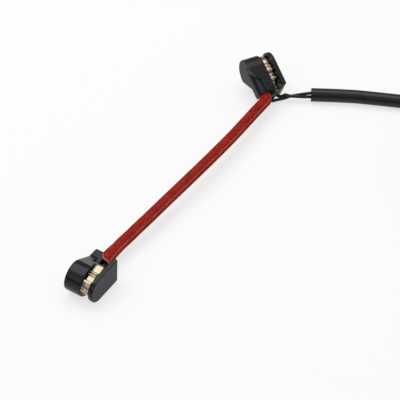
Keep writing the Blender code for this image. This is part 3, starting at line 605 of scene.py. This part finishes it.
def moulded(name, colour, rough, grain=0.25):
    """Plain moulded plastic."""
    finish = Finish(name, IOR=1.5)
    where = finish.place()
    clouds = finish.noise(where, 260.0, 4.0)
    dust = finish.noise(where, 1500.0, 3.0, 0.7)
    scuff = dust.above(0.60, 0.08)
    shade = tuple(c * 0.80 for c in colour)
    light = tuple(c * 1.22 for c in colour)
    dusty = tuple(c * 0.8 + 0.02 for c in colour)
    base = finish.mix(clouds, shade, light)
    base = finish.mix(scuff * 0.35, base, dusty)
    level = clouds * 0.14 + scuff * 0.12 + (rough - 0.09)
    height = dust * 0.5 + finish.noise(where, 4200.0, 2.0) * 0.5
    normal = finish.bump(height, grain, 0.00008)
    return finish.feed(Base_Color=base, Roughness=level, Normal=normal)


def head_finish(name, matrix):
    """The heads' plastic: satin where the mould was polished, matt on the two outer faces, greyer there by a
    painted sheen.
    """
    finish = Finish(name, IOR=1.5, Specular_IOR_Level=0.28, Specular_Tint=(0.86, 0.92, 1.0, 1.0))
    where = finish.place()
    turn = matrix.to_quaternion().inverted().to_euler()
    shift = matrix.inverted().translation
    own = finish.node("ShaderNodeMapping", {}, {"Vector": where, "Location": shift, "Rotation": turn})
    u, v, w = finish.split(own)
    clouds = finish.noise(own, 240.0, 4.0)
    grain = finish.noise(own, 3200.0, 3.0, 0.6)
    dust = finish.noise(own, 1300.0, 3.0, 0.7).above(0.61, 0.07)
    outer = (0.25 * MM - v).above(0.0, 0.05 * MM) + (v - (HEAD_WIDTH - 0.25 * MM)).above(0.0, 0.05 * MM)
    streaks = finish.noise(finish.join(u * 300.0, v * 300.0, w * 1600.0), 1.0, 4.0, 0.6)
    base = finish.mix(clouds, (0.0032, 0.0034, 0.0042), (0.0062, 0.0065, 0.0080))
    # Painted sheen: the two outer faces get a greyer colour that stands in for the light their matt texture
    # scatters.
    base = finish.mix(outer * (0.55 + streaks * 0.45), base, (0.026, 0.0255, 0.0235))
    base = finish.mix(dust * 0.22, base, (0.040, 0.040, 0.039))
    level = clouds * 0.06 + dust * 0.10 + outer * 0.27 + 0.17
    height = grain * 0.6 + outer * grain * 1.2 + dust * 0.3
    normal = finish.bump(height, 0.30, 0.00006)
    return finish.feed(Base_Color=base, Roughness=level, Normal=normal)


# %% [markdown]
# ## The moulded heads
# Each head is a thick lobe, a groove that the pad's back plate slides into, a thin plate, and a hooked
# neck that holds the sleeve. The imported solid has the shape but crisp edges. A copy is brought into the
# head's own frame, remeshed on a grid that lies square to its faces, and relaxed a little, which rounds
# each edge as a mould does. Before that, small blocks are joined to it: the lip that hooks over the
# sleeve's cut end on the end head, and the block and corner beside the sleeve on the middle head. The
# remesh melts them into one skin.

# %% Heads
HEAD_VOXEL = 0.2 * MM
END_LIP = [(-3.0, 0.35), (5.12, 0.35), (5.12, 4.02), (1.9, 6.0), (-0.6, 6.0), (-3.0, 5.4)]
MID_BLOCK = [(-5.0, 5.95), (0.9, 5.95), (0.9, 8.6), (-5.0, 8.6)]
MID_CORNER = [(-1.0, 6.0), (2.4, 6.0), (2.4, 9.3), (-1.0, 9.3)]


def block_over(outline, low, high):
    """A block over an outline of (u, v) points, from w low to high, in millimetres of the head's frame."""
    bpy.ops.object.select_all(action="DESELECT")
    bpy.ops.mesh.primitive_circle_add(vertices=len(outline), fill_type="NGON")
    made = bpy.context.object
    for vert, (u, v) in zip(made.data.vertices, outline):
        vert.co = Vector((u, v, low)) * MM
    bpy.ops.object.mode_set(mode="EDIT")
    bpy.ops.mesh.select_all(action="SELECT")
    bpy.ops.mesh.extrude_region_move(TRANSFORM_OT_translate={"value": (0.0, 0.0, (high - low) * MM)})
    bpy.ops.mesh.select_all(action="SELECT")
    bpy.ops.mesh.normals_make_consistent(inside=False)
    bpy.ops.object.mode_set(mode="OBJECT")
    return made


def moulded_head(node, name, matrix, added):
    """A head with its added blocks joined on and its edges rounded."""
    piece = copy_of(node, name)
    settle(piece, matrix.inverted())
    extra = [block_over(*sizes) for sizes in added]
    only(piece)
    for block in extra:
        block.select_set(True)
    bpy.ops.object.join()
    apply_modifier(piece, "REMESH", mode="VOXEL", voxel_size=HEAD_VOXEL)
    apply_modifier(piece, "SMOOTH", factor=0.5, iterations=5)
    only(piece)
    bpy.ops.object.shade_smooth()
    settle(piece, matrix)
    return piece


END_ADDED = [(END_LIP, -0.62, 4.8)]
MID_ADDED = [(MID_BLOCK, -2.2, 6.3), (MID_CORNER, -2.6, 3.0)]
for node, name, matrix, added in (("end_head_body", "end_head", end_matrix, END_ADDED),
                                  ("mid_head_body", "mid_head", mid_matrix, MID_ADDED)):
    dress(moulded_head(node, name, matrix, added), "head", head_finish(name + "_plastic", matrix), node)

# %% [markdown]
# ## Spring strip
# The clip is rolled phosphor bronze, so it mirrors what stands round it, drawn out along the rolling
# direction. Handling leaves faint brown tarnish in patches.

# %% Clip metal


def spring_strip():
    finish = Finish("clip_bronze", Metallic=1.0)
    where = finish.place()
    x, y, z = finish.split(where)
    lines = finish.noise(finish.join(x * 900.0, y * 900.0, z * 5200.0), 1.0, 3.0)
    stain = finish.noise(where, 420.0, 4.0, 0.6).above(0.58, 0.12)
    base = finish.mix(lines, (0.32, 0.26, 0.19), (0.44, 0.36, 0.27))
    base = finish.mix(stain * 0.45, base, (0.16, 0.115, 0.065))
    level = lines * 0.05 + stain * 0.08 + 0.11
    normal = finish.bump(lines, 0.05, 0.00003)
    return finish.feed(Base_Color=base, Roughness=level, Normal=normal)


clip_metal = spring_strip()

# %% [markdown]
# ## The clips
# The strip is folded in steps so that it springs against the back plate. It is made as it would be by
# hand: one edge of a plane is pulled along the fold line, the folds are rounded, and the sheet is given
# its thickness.

# %% Clips
FOLD_ROUND = 0.10 * MM
STRIP_EDGE = 0.06 * MM


def clip_line():
    """The strip's side view, as (u, w) points in the head's own frame."""
    under = [(-5.75, -4.75), (-6.0, -5.5), (-6.6, -6.0), (-7.4, -6.1), (-10.75, -5.4), (-11.2, -5.45)]
    under += [(-11.6, -6.1), (-12.0, -6.15), (-12.35, -5.5), (-12.6, -5.5), (-12.95, -6.05), (-13.35, -6.05)]
    under += [(-13.8, -5.35), (-16.0, -4.75), (-16.45, -5.05), (-17.3, -4.75), (-18.75, -2.75)]
    under += [(-18.95, -2.0)]
    front = [(-19.35, -1.6), (-19.35, -0.7), (-19.1, 0.1), (-18.6, 1.0), (-18.0, 1.8), (-17.25, 2.6)]
    front += [(-16.4, 3.3)]
    over = [(-15.3, 3.9), (-13.7, 4.2), (-13.2, 3.98), (-12.8, 4.02), (-12.3, 4.7), (-11.6, 4.95)]
    over += [(-11.1, 4.6), (-9.4, 4.85), (-8.8, 4.5), (-8.2, 3.98), (-7.2, 3.98), (-6.7, 4.3), (-5.3, 5.05)]
    over += [(-4.8, 4.9), (-4.5, 4.2), (-4.3, 3.0), (-3.5, 1.9), (-2.0, 1.5), (-0.7, 1.6)]
    over += [(0.0, 2.0), (0.5, 2.65)]
    return [(x * MM, y * MM) for x, y in under + front + over]


def folded_clip(name, matrix):
    low = LOBE_THICK + CLIP_SIDE_GAP
    high = LOBE_THICK + GROOVE_WIDTH - CLIP_SIDE_GAP
    line = clip_line()
    bpy.ops.object.select_all(action="DESELECT")
    bpy.ops.mesh.primitive_plane_add(size=high - low, location=(0, 0, 0))
    piece = bpy.context.object
    piece.name = name
    work = bmesh.new()
    work.from_mesh(piece.data)
    edge = min(work.edges, key=lambda e: sum(v.co.x for v in e.verts))
    for vert in [v for v in work.verts if v not in edge.verts]:
        work.verts.remove(vert)
    for vert in work.verts:
        vert.co = Vector((line[0][0], (low + high) / 2 + vert.co.y, line[0][1]))
    work.to_mesh(piece.data)
    work.free()
    only(piece)
    bpy.ops.object.mode_set(mode="EDIT")
    bpy.ops.mesh.select_all(action="SELECT")
    for (x0, z0), (x1, z1) in zip(line, line[1:]):
        bpy.ops.mesh.extrude_region_move(TRANSFORM_OT_translate={"value": (x1 - x0, 0.0, z1 - z0)})
    bpy.ops.object.mode_set(mode="OBJECT")
    apply_modifier(piece, "BEVEL", width=FOLD_ROUND, segments=2, limit_method="ANGLE",
                   angle_limit=math.radians(12), use_clamp_overlap=True)
    apply_modifier(piece, "SOLIDIFY", thickness=CLIP_STRIP, offset=0.0)
    apply_modifier(piece, "BEVEL", width=STRIP_EDGE, segments=2, limit_method="ANGLE",
                   angle_limit=math.radians(50))
    smooth(piece, 40.0)
    settle(piece, matrix)
    return piece


for node, name, matrix in (("end_head_clip", "end_clip", end_matrix),
                           ("mid_head_clip", "mid_clip", mid_matrix)):
    dress(folded_clip(name, matrix), "clip", clip_metal, node)

# %% [markdown]
# ## Braid
# The sleeve is braided from flat glass-fibre yarns, dyed red and varnished. Two sets of yarns cross, each
# going over and under the other. The height of the yarns is worked out from the place on the tube, so the
# mesh has the braid, and the material reads the same map to give single yarns their own tone, the
# crossings a painted pale glint and the gaps between yarns a painted shade. A painted line of pale glints
# runs along the lit side, and the cut rim is pale where the varnish is broken.

# %% Braid material
YARNS = 16
YARN_PITCH = 1.0
# Where round the sleeve the painted line of glints lies, on its lit side, and its half width.
GLINT_LINE_TURN = 0.09
GLINT_LINE_HALF = 0.018
RIM_LENGTH = 0.045


def braid_red():
    finish = Finish("sleeve_braid", IOR=1.5, Specular_IOR_Level=0.08)
    uv = finish.node("ShaderNodeUVMap", {"uv_map": "along"})
    u, v, _ = finish.split(uv)
    right = u * float(YARNS) + v * (10.0 / YARN_PITCH)
    left = u * float(YARNS) - v * (10.0 / YARN_PITCH)
    cross = (right * math.pi).math("SINE") * (left * math.pi).math("SINE")
    edge = (right * math.pi).math("SINE").math("ABSOLUTE") * (left * math.pi).math("SINE").math("ABSOLUTE")
    line = {"noise_dimensions": "1D"}
    tone_right = finish.node("ShaderNodeTexWhiteNoise", line, {"W": right.math("FLOOR")})
    tone_left = finish.node("ShaderNodeTexWhiteNoise", line, {"W": left.math("FLOOR") + 57.0})
    top = cross.above(0.0, 0.15)
    tone = tone_right * top + tone_left * (1.0 - top)
    where = finish.place()
    fibre = finish.noise(where, 5200.0, 2.0, 0.6)
    patch = finish.noise(where, 160.0, 3.0)
    base = finish.mix(tone * 0.7 + fibre * 0.3, (0.19, 0.0065, 0.0035), (0.44, 0.017, 0.008))
    base = finish.mix(patch.above(0.55, 0.15) * 0.2, base, (0.52, 0.050, 0.024))
    # Painted glints: pale specks on the yarn crossings, and a painted line of them along the lit side.
    glint_noise = finish.noise(where, 3400.0, 2.0, 0.5)
    speck = glint_noise.above(0.64, 0.04) * edge.above(0.45, 0.2)
    glint_line = (GLINT_LINE_HALF - (u - GLINT_LINE_TURN).math("ABSOLUTE")).above(0.0, 0.006) * glint_noise.above(0.50, 0.06)
    base = finish.mix((speck * 0.6 + glint_line * 0.7).clamp(), base, (0.80, 0.27, 0.19))
    # Painted shade: the colour is darkened in the gaps between the yarns, which are also rougher.
    dark = (1.0 - edge).above(0.86, 0.10)
    base = finish.mix(dark * 0.45, base, (0.10, 0.006, 0.005))
    rim = (RIM_LENGTH - v).above(0.0, 0.02)
    base = finish.mix(rim * 0.65, base, (0.75, 0.38, 0.27))
    level = 0.62 - tone * 0.12 + dark * 0.15
    normal = finish.bump(fibre, 0.35, 0.00006)
    return finish.feed(Base_Color=base, Roughness=level, Normal=normal)


sleeve_braid = braid_red()

# %% [markdown]
# ## The sleeve
# At the end head the sleeve was cut askew to fit behind the lip, so the side next to the lobe ends
# further back. The braid also opens a little there and single yarns stand out, since nothing binds the
# cut. Wall and bore are drawn only as deep as one can look in.

# %% Sleeve
BRAID_STAND = 0.22 * MM
BRAID_STEP = 0.22 * MM
BRAID_RELIEF = 0.11 * MM
BRAID_AROUND = 96
SLEEVE_WALL = 0.3 * MM
SLEEVE_HOLLOW = 6.0 * MM
FLARE = 0.45 * MM
FLARE_LENGTH = 9.0 * MM
STRAY_LIFT = 0.18 * MM
STRAY_LENGTH = 0.8 * MM
SLANT = 4.4 * MM
SLANT_LENGTH = 14.0 * MM


def braid_height(turn, run):
    """How far a point stands out, from its place round the tube and along it."""
    right = turn * YARNS + run / (YARN_PITCH * MM)
    left = turn * YARNS - run / (YARN_PITCH * MM)
    sr = math.sin(math.pi * right)
    sl = math.sin(math.pi * left)
    lift = 0.45 * sr * sl
    high = max(abs(sr) ** 0.6 + lift, abs(sl) ** 0.6 - lift)
    return (high - 1.45) * BRAID_RELIEF


def braided_end(turn, run):
    """The braid opens a little towards its cut end, where single yarns stand out."""
    open_out = max(1.0 - run / FLARE_LENGTH, 0.0) * FLARE
    wave = math.sin(turn * 2 * math.pi * 23 + 3 * math.sin(turn * 40))
    stray = max(1.0 - run / STRAY_LENGTH, 0.0) * STRAY_LIFT * wave
    return braid_height(turn, run) + open_out + stray


def askew(turn, run):
    """How far the cut runs back on the lobe's side; the braid is pushed together behind it."""
    return max(-math.cos(turn * 2 * math.pi), 0.0) * SLANT * max(1.0 - run / SLANT_LENGTH, 0.0)


sleeve = tube("link_braid", smooth_route(link, BRAID_STEP), SLEEVE_RADIUS + BRAID_STAND, BRAID_AROUND,
              braided_end, SLEEVE_RADIUS - SLEEVE_WALL, SLEEVE_HOLLOW, askew)
only(sleeve)
bpy.ops.object.shade_smooth()
dress(sleeve, "sleeve", sleeve_braid, "link_sleeve")

# %% [markdown]
# ## Wire and sheath
# The wire has a thin black jacket with a soft shine. The sheath is extruded, and the die leaves fine
# lines along it, which the map along the tube gives a direction to follow.

# %% Jacket materials


def extruded(name, colour, rough, lines_round):
    finish = Finish(name, IOR=1.48, Specular_IOR_Level=0.34)
    uv = finish.node("ShaderNodeUVMap", {"uv_map": "along"})
    u, v, _ = finish.split(uv)
    turn = u * (2 * math.pi)
    ring = finish.join(turn.math("COSINE") * lines_round, turn.math("SINE") * lines_round, v * 0.25)
    lines = finish.noise(ring, 1.0, 2.0)
    where = finish.place()
    haze = finish.noise(where, 140.0, 3.0)
    dust = finish.noise(where, 2200.0, 2.0).above(0.68, 0.05)
    base = finish.mix(haze, tuple(c * 0.75 for c in colour), tuple(c * 1.3 for c in colour))
    base = finish.mix(dust * 0.3, base, tuple(c + 0.02 for c in colour))
    level = haze * 0.12 + dust * 0.1 + (rough - 0.06)
    normal = finish.bump(lines, 0.12, 0.00010)
    return finish.feed(Base_Color=base, Roughness=level, Normal=normal)


wire_jacket = extruded("wire_jacket", (0.006, 0.006, 0.007), 0.30, 3.0)
sheath_rubber = extruded("sheath_rubber", (0.006, 0.006, 0.007), 0.25, 6.0)

# %% Wire
WIRE_STEP = 0.7 * MM
wire = tube("sense_wire_run", smooth_route(wire_line, WIRE_STEP), WIRE_RADIUS, 14)
smooth(wire, 60.0)
dress(wire, "wire", wire_jacket, "sense_wire")

# %% Sheath
SHEATH_STEP = 1.6 * MM
SHEATH_HOLLOW = 10.0 * MM
route = smooth_route(sheath_line, SHEATH_STEP)
sheath = tube("sheath", route, SHEATH_RADIUS, 40, None, SHEATH_BORE, SHEATH_HOLLOW)
smooth(sheath, 50.0)
dress(sheath, "sheath", sheath_rubber, "lead_sheath_run", "lead_coil", "lead_sheath_tail")

# %% [markdown]
# ## Plug, collar and tie
# These end the lead outside the picture. Their solids have the right shape, so each gets a merged copy
# with its edges broken by a small bevel, and a finish of its own.

# %% Plug finishes
plug_plastic = moulded("plug_plastic", (0.030, 0.030, 0.033), 0.42)
cover_plastic = moulded("cover_plastic", (0.085, 0.087, 0.092), 0.46)
lock_plastic = moulded("lock_plastic", (0.60, 0.58, 0.53), 0.45)
seal_rubber = moulded("seal_rubber", (0.045, 0.19, 0.14), 0.55)
tie_nylon = moulded("tie_nylon", (0.024, 0.024, 0.026), 0.40)
collar_shrink = moulded("collar_shrink", (0.021, 0.021, 0.023), 0.50, 0.4)


def tinned():
    finish = Finish("terminal_tin", Metallic=1.0)
    where = finish.place()
    cloud = finish.noise(where, 900.0, 4.0)
    base = finish.mix(cloud, (0.55, 0.54, 0.51), (0.80, 0.79, 0.76))
    normal = finish.bump(cloud, 0.1, 0.00004)
    return finish.feed(Base_Color=base, Roughness=cloud * 0.2 + 0.22, Normal=normal)


terminal_tin = tinned()

# %% Plug pieces


def broken_edges(node, name, width):
    piece = copy_of(node, name)
    only(piece)
    bpy.ops.object.mode_set(mode="EDIT")
    bpy.ops.mesh.select_all(action="SELECT")
    bpy.ops.mesh.dissolve_limited(angle_limit=math.radians(0.5))
    bpy.ops.object.mode_set(mode="OBJECT")
    apply_modifier(piece, "BEVEL", width=width, segments=2, limit_method="ANGLE",
                   angle_limit=math.radians(35))
    smooth(piece, 35.0)
    return piece


for node, name, slot, finish, width in (
        ("plug_housing", "housing", "plug", plug_plastic, 0.20 * MM),
        ("plug_seal_cover", "seal_cover", "cover", cover_plastic, 0.15 * MM),
        ("plug_secondary_lock", "secondary_lock", "lock", lock_plastic, 0.12 * MM),
        ("plug_front_seal", "front_seal", "seal", seal_rubber, 0.25 * MM),
        ("plug_wire_seal_1", "wire_seal_1", "seal", seal_rubber, 0.08 * MM),
        ("plug_wire_seal_2", "wire_seal_2", "seal", seal_rubber, 0.08 * MM),
        ("plug_terminal_1", "terminal_1", "metal", terminal_tin, 0.08 * MM),
        ("plug_terminal_2", "terminal_2", "metal", terminal_tin, 0.08 * MM),
        ("coil_tie", "tie", "tie", tie_nylon, 0.12 * MM),
        ("lead_shrink_collar", "shrink_collar", "collar", collar_shrink, 0.10 * MM)):
    piece = broken_edges(node, name, width)
    dress(piece, slot, finish, node)

# %% [markdown]
# ## Wires into the plug
# Each wire leaves the end of the sheath, spreads a little and runs through its own seal into a contact.

# %% Wires into the plug
LEAD_STEP = 0.6 * MM
start, heading = tail_frame()
heel = start + heading * (TAIL_LENGTH + PLUG_DISTANCE) + Vector((0, 0, TAIL_HEIGHT - ORIGIN.z))
plug_matrix = Matrix.Translation(heel) @ Matrix.Rotation(math.atan2(heading.y, heading.x), 4, "Z")
for number, side in ((1, -1), (2, 1)):
    where = local_points([(-12.6, side * 0.9, 0.0), (-9.5, side * 0.95, 0.0), (-6.0, side * 1.7, 0.0),
                          (-2.8, side * 2.3, 0.0), (8.6, side * 2.3, 0.0)])
    strand_line = [plug_matrix @ point for point in smooth_route(where, LEAD_STEP)]
    strand = tube(f"plug_lead_{number}", strand_line, WIRE_RADIUS, 16)
    smooth(strand, 60.0)
    dress(strand, "wire", wire_jacket, f"plug_wire_{number}")

# %% [markdown]
# ## The free lead
# The lead is 0.65 m long.

# %% [markdown]
# ## Floor and light
# The floor is white paper. To the camera and in reflections it is mostly its own even white, and the rest
# is lit, so it keeps the soft shadow. A broad lamp above and a weaker one at the side give the soft
# highlights. The sky is white too, but dim near the floor and bright overhead, so that upright faces of
# the black plastic stay dark.

# %% Floor
FLOOR_DROP = 0.12 * MM
OWN_WHITE = 0.68
bpy.ops.object.select_all(action="DESELECT")
bpy.ops.mesh.primitive_plane_add(size=6.0, location=(0.0, 0.0, -ORIGIN.z - FLOOR_DROP))
floor = bpy.context.object
floor.name = "floor"
paper = Finish("paper_floor", Base_Color=(0.94, 0.94, 0.94, 1.0), Roughness=0.95)
ray = paper.node("ShaderNodeLightPath", out="Is Camera Ray")
seen = (ray + ray.output("Is Glossy Ray") + ray.output("Is Transmission Ray")).clamp()
own = paper.node("ShaderNodeEmission", {}, {"Color": (1.0, 1.0, 1.0, 1.0), "Strength": 1.0})
lit = Signal(paper, paper.shader.outputs[0])
mixed = paper.node("ShaderNodeMixShader", {}, {0: seen * OWN_WHITE, 1: lit, 2: own})
paper.plug(paper.tree.nodes["Material Output"], Surface=mixed)
floor.data.materials.append(paper.material)
print("floor at", round(floor.location.z / MM, 2), "mm, own white", OWN_WHITE)

# %% Lights


def lamp(name, size, power, place, aim):
    data = bpy.data.lights.new(name, "AREA")
    data.shape = "RECTANGLE"
    data.size, data.size_y = size
    data.energy = power
    made = bpy.data.objects.new(name, data)
    made.location = Vector(place)
    made.rotation_euler = (Vector(aim) - Vector(place)).to_track_quat("-Z", "Y").to_euler()
    bpy.context.scene.collection.objects.link(made)
    print(name, power, "W")


lamp("softbox_above", (1.1, 0.75), 5.1, (-0.18, 0.26, 0.95), (0.0, 0.0, 0.0))
lamp("softbox_front", (0.5, 0.35), 0.5, (-0.6, -0.6, 0.45), (0.0, 0.0, 0.0))

# %% Sky
SKY_LOW = 0.05
SKY_HIGH = 0.85
world = bpy.data.worlds.new("studio")
world.use_nodes = True
studio = Nodes(world.node_tree)
height = studio.split(studio.node("ShaderNodeTexCoord", out="Generated"))[2]
glow = studio.node("ShaderNodeMapRange", {}, {"Value": height, "To Min": SKY_LOW, "To Max": SKY_HIGH})
background = world.node_tree.nodes["Background"]
background.inputs["Color"].default_value = (1.0, 1.0, 1.0, 1.0)
studio.plug(background, Strength=glow)
bpy.context.scene.world = world
print("sky from", SKY_LOW, "to", SKY_HIGH)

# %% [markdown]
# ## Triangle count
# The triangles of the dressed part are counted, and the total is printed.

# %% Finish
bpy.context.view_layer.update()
made = [o for o in bpy.data.objects if o.type == "MESH" and "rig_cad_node" not in o]
print("total", sum(triangles(o) for o in made), "triangles")
